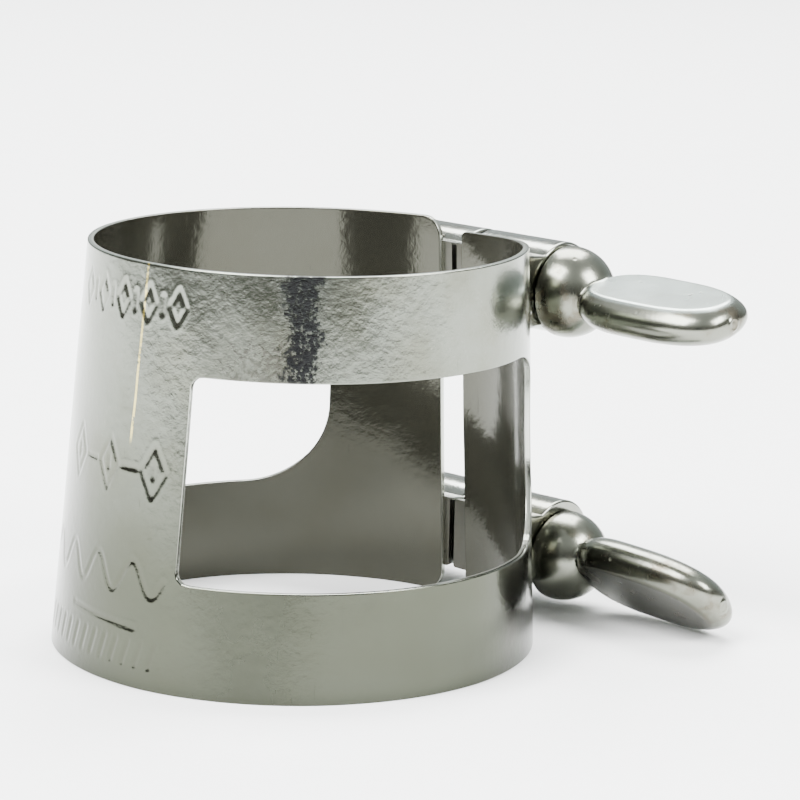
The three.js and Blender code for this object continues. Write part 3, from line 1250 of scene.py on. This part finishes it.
@dataclass(frozen=True)
class NickelFinish:
    """Nickel plate as it ages: a warm film, fine orange peel, hairline scratches and pits."""

    name: str
    plate: Colour = (0.195, 0.209, 0.178)
    film: Colour = (0.135, 0.136, 0.098)
    spark: Colour = (0.55, 0.56, 0.50)
    # Dirt in the pits, and painted shade and painted dark reflections on the band.
    grime_and_shade: Colour = (0.06, 0.055, 0.045)
    film_share: float = 0.5
    roughness: float = 0.10
    roughness_spread: float = 0.12
    peel: float = 0.012
    peel_size: float = 0.55
    pits: float = 0.0

    def base(self, graph: Surface) -> tuple[Any, Field, Any]:
        """The colour, roughness and normal that all the plated pieces share."""
        film = graph.noise(5.5, 4, 0.6, 3.1).ramp(0.42, 0.68) * self.film_share
        colour = graph.mix(film, rgba(self.plate), rgba(self.film))
        freckle = graph.noise(0.5, 3, 0.7, 9.0).ramp(0.62, 0.74) * 0.3
        colour = graph.mix(freckle, colour, rgba(self.film))
        speck = graph.noise(0.11, 2, 0.5, 15.0).ramp(0.60, 0.72) * 0.12
        colour = graph.mix(speck, colour, rgba(self.spark))
        lines = graph.noise(0.2, 2, 0.5, 5.0, (1, 1, 0.04), 0.5).ramp(0.68, 0.76)
        smear = graph.noise(2.6, 4, 0.6, 12.0)
        roughness = self.roughness + smear * self.roughness_spread + lines * 0.08
        peel = graph.noise(self.peel_size, 3, 0.55, 1.0)
        normal = graph.bump(peel, self.peel)
        normal = graph.bump(graph.noise(0.12, 2, 0.5, 8.0), self.peel * 0.12, normal)
        normal = graph.bump(lines, -0.002, normal)
        if self.pits:
            pit = graph.cells(0.9, 2.0).ramp(0.16, 0.05) * graph.noise(1.9, 2, 0.5, 6.0).ramp(0.52, 0.6)
            colour = graph.mix(pit * self.pits, colour, rgba(self.grime_and_shade))
            normal = graph.bump(pit, -0.03, normal)
            roughness = roughness + pit * 0.3
        return colour, roughness, normal

    def material(self) -> bpy.types.Material:
        """Makes the material."""
        graph = Surface(self.name)
        colour, roughness, normal = self.base(graph)
        graph.shade(Base_Color=colour, Roughness=roughness, Normal=normal, Metallic=1.0)
        return graph.material


@dataclass(frozen=True)
class BandFinish(NickelFinish):
    """The band's plate: darker towards the bottom, with painted shade inside and rim wear brightened by a
    painted highlight.

    It has a line of brass where the plate has gone through, coarse, mottled brown tarnish round a painted
    dark reflection up the upper band, and a painted dark reflection and painted shade on the lower strip
    beside the lower screw. Angles are in radians about the axis, and heights in millimetres.
    """

    brass: Colour = (0.66, 0.56, 0.22)
    # Painted dark reflection up the upper band.
    dark_reflection: Colour = (0.015, 0.016, 0.018)
    # Painted shade on the inside of the band.
    inside_shade: Colour = (0.032, 0.031, 0.021)
    # Colour that the outside darkens to towards the bottom.
    darker_low: Colour = (0.052, 0.056, 0.041)
    # Rim wear brightened into a painted highlight line.
    rim_wear_highlight: Colour = (0.52, 0.54, 0.48)
    darkening_start: float = 21.0
    darkening_full: float = 4.5
    line_angle: float = -1.5945
    line_lean: float = 0.0026
    line_from: float = 13.2
    patch_from: float = 17.0
    # Where the painted dark reflection runs up the upper band, and the brown tarnish round it.
    dark_reflection_angle: float = -0.775
    halo_angle: float = -0.96
    coarse: float = 0.013
    sill: float = 7.0
    # Where the painted dark reflection runs on the lower strip.
    side_reflection_angle: float = 0.33

    def shade_and_rim_wear(self, graph: Surface, colour: Any, z: Field, outside: Field) -> Any:
        """The colour after the darkening towards the bottom, the painted shade inside, the rim wear with its
        painted highlight and the painted shade in the marks.
        """
        inside = 1 - outside
        through = graph.attribute("inside")
        # The outside darkens towards the bottom.
        low = z.ramp(self.darkening_start, self.darkening_full) * outside
        colour = graph.mix(low * 0.92, colour, rgba(self.darker_low))
        # Painted shade on the inside of the band.
        colour = graph.mix(inside * 0.9, colour, rgba(self.inside_shade))
        # The rims' bevels: wear and a painted highlight line.
        rim = (through * (1 - through)).ramp(0.04, 0.16)
        colour = graph.mix(rim * 0.8, colour, rgba(self.rim_wear_highlight))
        # Painted shade in the pressed marks.
        return graph.mix(graph.attribute("pressed").ramp(0.2, 0.9) * 0.14, colour, rgba(self.grime_and_shade))

    def brass_line(self, graph: Surface, angle: Field, z: Field) -> Field:
        """Where the plate has gone through to the brass in a line up the reed plate."""
        wander = graph.noise(3.0, 2, 0.5, 4.0) * 0.012
        line = abs(angle + wander - (z * self.line_lean + self.line_angle)).ramp(0.0085, 0.004)
        broken = graph.noise(0.4, 2, 0.6, 2.0).ramp(0.34, 0.48)
        return line * z.ramp(self.line_from, self.line_from + 1) * broken

    def side_reflection_and_shade(self, graph: Surface, angle: Field, z: Field) -> tuple[Field, Field]:
        """A painted dark reflection streak on the lower strip, and painted shade towards the lugs."""
        below = z.ramp(self.sill, self.sill - 1)
        wander = (graph.noise(1.2, 3, 0.6, 17.0) - 0.5) * 0.05
        # A painted dark reflection streak under the window, and painted shade towards the lugs.
        smear = abs(angle - self.side_reflection_angle - wander).ramp(0.15, 0.0) * z.ramp(0.2, 2.4) * below
        shade = angle.ramp(0.42, 0.72) * angle.ramp(1.5, 0.9) * z.ramp(self.sill, self.sill - 0.8)
        return smear, shade

    def material(self) -> bpy.types.Material:
        """Makes the material."""
        graph = Surface(self.name)
        colour, roughness, normal = self.base(graph)
        x, y, z = graph.axes()
        angle = y.angle_from(x)
        inside = graph.attribute("inside").ramp(0.3, 0.8)
        outside = 1 - inside
        colour = self.shade_and_rim_wear(graph, colour, z, outside)
        colour = graph.mix(self.brass_line(graph, angle, z) * outside, colour, rgba(self.brass))
        # Painted dark reflection and painted shade on the lower strip.
        smear, shade = self.side_reflection_and_shade(graph, angle, z)
        colour = graph.mix(smear * outside * 0.55, colour, rgba(self.grime_and_shade))
        colour = graph.mix(shade * outside * 0.5, colour, rgba(self.grime_and_shade))
        pebble = graph.noise(0.30, 5, 0.72, 11.0)
        drift = (graph.noise(2.4, 2, 0.5, 7.0) - 0.5) * 0.12
        # Painted dark reflection: a streak up the upper band, leaning slightly and wandering.
        dark_reflection_streak = abs(angle - self.dark_reflection_angle + drift - (z - 20.0) * 0.004).ramp(0.155, 0.03)
        halo = abs(angle - self.halo_angle + drift).ramp(0.34, 0.05) * z.ramp(22.0, 18.5)
        upper = z.ramp(self.patch_from, self.patch_from + 0.9) * outside
        # Coarse brown tarnish, heavier on and round the painted dark reflection.
        brown = (pebble + halo * 0.26 + dark_reflection_streak * 0.2).ramp(0.66, 0.84) * upper * 0.55
        colour = graph.mix(brown, colour, rgba(self.grime_and_shade))
        # The painted dark reflection itself, mottled at its edges.
        dark = (pebble + dark_reflection_streak * 0.43).ramp(0.76, 0.92) * upper
        colour = graph.mix(dark * 0.93, colour, rgba(self.dark_reflection))
        normal = graph.bump(pebble * (brown + dark_reflection_streak * 0.4), self.coarse, normal)
        roughness = (roughness + halo * 0.12) * (1 - inside * 0.15)
        graph.shade(Base_Color=colour, Roughness=roughness, Normal=normal, Metallic=1 - inside * 0.3)
        return graph.material


@dataclass(frozen=True)
class LugFinish(NickelFinish):
    """The lugs' plate, dirty where the feet and the solder meet the band."""

    under: Colour = (0.05, 0.047, 0.036)
    lean: Point = (0.0162, 0.0154)
    foot_radius: float = 14.2
    taper: float = 0.0748

    def material(self) -> bpy.types.Material:
        """Makes the material."""
        graph = Surface(self.name)
        colour, roughness, normal = self.base(graph)
        x, y, z = graph.axes()
        across, out = x - z * self.lean[0], y - z * self.lean[1]
        clear = (across * across + out * out) ** 0.5 - (self.foot_radius - z * self.taper)
        dirt = clear.ramp(0.55, 0.12)
        colour = graph.mix(dirt * 0.85, colour, rgba(self.under))
        graph.shade(Base_Color=colour, Roughness=roughness + dirt * 0.2, Normal=normal, Metallic=1.0)
        return graph.material


@dataclass(frozen=True)
class HeadFinish(NickelFinish):
    """The heads' plate: painted light on the faces turned up, painted shade on the flanks and below, with
    brownish clouds.
    """

    cloud: Colour = (0.11, 0.095, 0.068)
    # Painted shade on the flanks.
    flank_shade: Colour = (0.165, 0.166, 0.13)
    # Painted shade on the face below.
    under: Colour = (0.07, 0.071, 0.056)

    def material(self) -> bpy.types.Material:
        """Makes the material."""
        graph = Surface(self.name)
        colour, roughness, normal = self.base(graph)
        painted_light = graph.attribute("painted_light")
        # Painted light on the face turned up, painted shade on the flanks and the face below.
        broad = painted_light.ramp(0.5, 0.95)
        colour = graph.mix((1 - broad) * 0.85, colour, rgba(self.flank_shade))
        colour = graph.mix(painted_light.ramp(0.4, 0.05) * 0.85, colour, rgba(self.under))
        clouds = graph.noise(2.2, 4, 0.62, 21.0).ramp(0.50, 0.68) * (0.8 - broad * 0.6)
        colour = graph.mix(clouds, colour, rgba(self.cloud))
        roughness = roughness + clouds * 0.08 + broad * 0.06
        graph.shade(Base_Color=colour, Roughness=roughness, Normal=normal, Metallic=1.0)
        return graph.material


FINISHES: dict[Slot, NickelFinish] = {
    Slot.BAND: BandFinish("band_nickel"),
    Slot.LUG: LugFinish(
        "lug_nickel", plate=(0.29, 0.305, 0.28), film=(0.19, 0.185, 0.145), film_share=0.8, pits=0.5
    ),
    Slot.SHANK: NickelFinish("shank_nickel", plate=(0.27, 0.255, 0.21), film_share=0.9, roughness=0.3),
    Slot.HEAD: HeadFinish(
        "head_nickel",
        plate=(0.36, 0.41, 0.385),
        film=(0.27, 0.295, 0.265),
        roughness=0.17,
        peel=0.008,
        pits=1.0,
    ),
}


# ---------------------------------------------------------------------------
# Studio
# ---------------------------------------------------------------------------


@dataclass(frozen=True)
class SoftBox:
    """A square area light aimed at the ligature. Angles are in degrees, distances in metres.

    The azimuth is turned from the camera's own.
    """

    azimuth: float
    elevation: float
    distance: float
    size: float
    power: float

    def build(self, index: int, turn: float, target: Vector) -> None:
        """Adds the light.

        Args:
            index: The light's number.
            turn: The camera's azimuth in degrees.
            target: What the light is aimed at.
        """
        light = bpy.data.lights.new(f"soft_box_{index}", "AREA")
        light.size = self.size
        light.energy = self.power
        holder = bpy.data.objects.new(light.name, light)
        a, e = math.radians(turn + self.azimuth), math.radians(self.elevation)
        away = Vector((math.sin(a) * math.cos(e), -math.cos(a) * math.cos(e), math.sin(e)))
        holder.location = target + away * self.distance
        holder.rotation_euler = away.to_track_quat("Z", "Y").to_euler()
        bpy.context.scene.collection.objects.link(holder)


@dataclass(frozen=True)
class Studio:
    """The camera, the floor, the lights and the room around them.

    The camera's angles are in degrees and its distances in millimetres; the rest is in metres.
    """

    turn: float = 43.1
    tilt: float = 11.909
    roll: float = 1.284
    distance: float = 203.823
    side: float = 5.947
    rise: float = 14.171
    lens: float = 159.13
    floor_radius: float = 0.85
    floor_back: float = 0.25
    paper: tuple[Colour, Colour] = ((0.92, 0.925, 0.925), (0.95, 0.955, 0.955))
    horizon: Colour = (0.20, 0.19, 0.165)
    overhead: Colour = (0.96, 1.0, 1.0)
    glow: Colour = (0.86, 0.95, 0.95)
    shadow: Colour = (0.02, 0.025, 0.04)
    target_height: float = 0.012
    boxes: tuple[SoftBox, ...] = (
        SoftBox(-55, 52, 0.55, 0.34, 11.0),
        SoftBox(65, 38, 0.60, 0.26, 6.4),
        SoftBox(175, 55, 0.60, 0.40, 11.0),
    )

    def camera(self) -> None:
        """Adds the camera."""
        e, r = math.radians(self.tilt), math.radians(self.roll)
        spin = Matrix.Rotation(math.radians(self.turn), 3, "Z")
        right = Vector((1, 0, 0))
        up = Vector((0, math.sin(e), math.cos(e)))
        back = spin @ Vector((0, -math.cos(e), math.sin(e)))
        place = spin @ Vector((self.side, 0, self.rise)) + back * self.distance
        rolled_right = spin @ (right * math.cos(r) + up * math.sin(r))
        rolled_up = spin @ (up * math.cos(r) - right * math.sin(r))
        data = bpy.data.cameras.new("camera")
        data.lens = self.lens
        data.sensor_width = 36
        data.clip_start = 0.005
        holder = bpy.data.objects.new("camera", data)
        axes = Matrix((rolled_right, rolled_up, back)).transposed()
        holder.matrix_world = Matrix.Translation(place * MILLIMETRE) @ axes.to_4x4()
        bpy.context.scene.collection.objects.link(holder)
        bpy.context.scene.camera = holder

    def floor(self) -> None:
        """Adds the pale floor, a disc that reaches further behind the ligature than before it."""
        a = math.radians(self.turn)
        Bench.clear_selection()
        bpy.ops.mesh.primitive_circle_add(vertices=96, radius=self.floor_radius, fill_type="NGON")
        floor = Bench.adopt("floor")
        back = Vector((-math.sin(a), math.cos(a), 0)) * self.floor_back
        floor.data.transform(Matrix.Translation(back))
        graph = Surface("floor_paper")
        dark, pale = self.paper
        colour = graph.mix(graph.noise(1.6, 3, 0.5, 0.0), rgba(dark), rgba(pale))
        graph.shade(Base_Color=colour, Roughness=0.9)
        floor.data.materials.append(graph.material)

    def room(self) -> None:
        """Lights the room: bright overhead and behind, and dark where the camera stands."""
        world = bpy.data.worlds.new("room")
        bpy.context.scene.world = world
        graph = Graph(world)
        x, y, z = graph.axes(graph.node("ShaderNodeTexCoord", {}, {}).outputs["Generated"])
        a = math.radians(self.turn)
        ahead = x * math.sin(a) + y * -math.cos(a)
        aside = x * math.cos(a) + y * math.sin(a)
        sky = graph.mix(z.ramp(0.12, 0.75), rgba(self.horizon), rgba(self.overhead))
        behind = ahead.ramp(-0.15, -0.75) * z.ramp(0.0, 0.16)
        sky = graph.mix(behind * 0.85, sky, rgba(self.glow))
        sitter = abs(aside + 0.03).ramp(0.24, 0.08) * ahead.ramp(0.2, 0.6) * z.ramp(0.42, 0.15)
        sky = graph.mix(sitter, sky, rgba(self.shadow))
        back = graph.node("ShaderNodeBackground", {}, {"Color": sky})
        graph.node("ShaderNodeOutputWorld", {}, {0: back.outputs[0]})

    def build(self) -> None:
        """Sets up the studio."""
        self.camera()
        self.floor()
        self.room()
        target = Vector((0, 0, self.target_height))
        for index, box in enumerate(self.boxes):
            box.build(index, self.turn, target)


# ---------------------------------------------------------------------------


def dress(pieces: Iterable[bpy.types.Object], material: bpy.types.Material) -> None:
    """Gives pieces their only material."""
    for piece in pieces:
        piece.data.materials.clear()
        piece.data.materials.append(material)


def main() -> None:
    """Builds the ligature around the frame."""
    logging.basicConfig(level=logging.INFO, format="%(name)s %(message)s")
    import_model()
    Studio().build()
    band = Band()
    stations = (
        Station("upper", 19.72, 6.19, 1.0, 8.5),
        Station("lower", 3.75, 5.77, 3.5, -41.1),
    )
    made: dict[Slot, list[bpy.types.Object]] = {slot: [] for slot in Slot}
    made[Slot.BAND].append(band.build())
    for station in stations:
        for kind in LugKind:
            made[Slot.LUG].append(Lug(station, kind).build(band))
        made[Slot.SHANK].append(Shank(station).build(band))
        made[Slot.HEAD].append(Head(station).build(band))
    for slot, pieces in made.items():
        dress(pieces, FINISHES[slot].material())


if __name__ == "__main__":
    main()
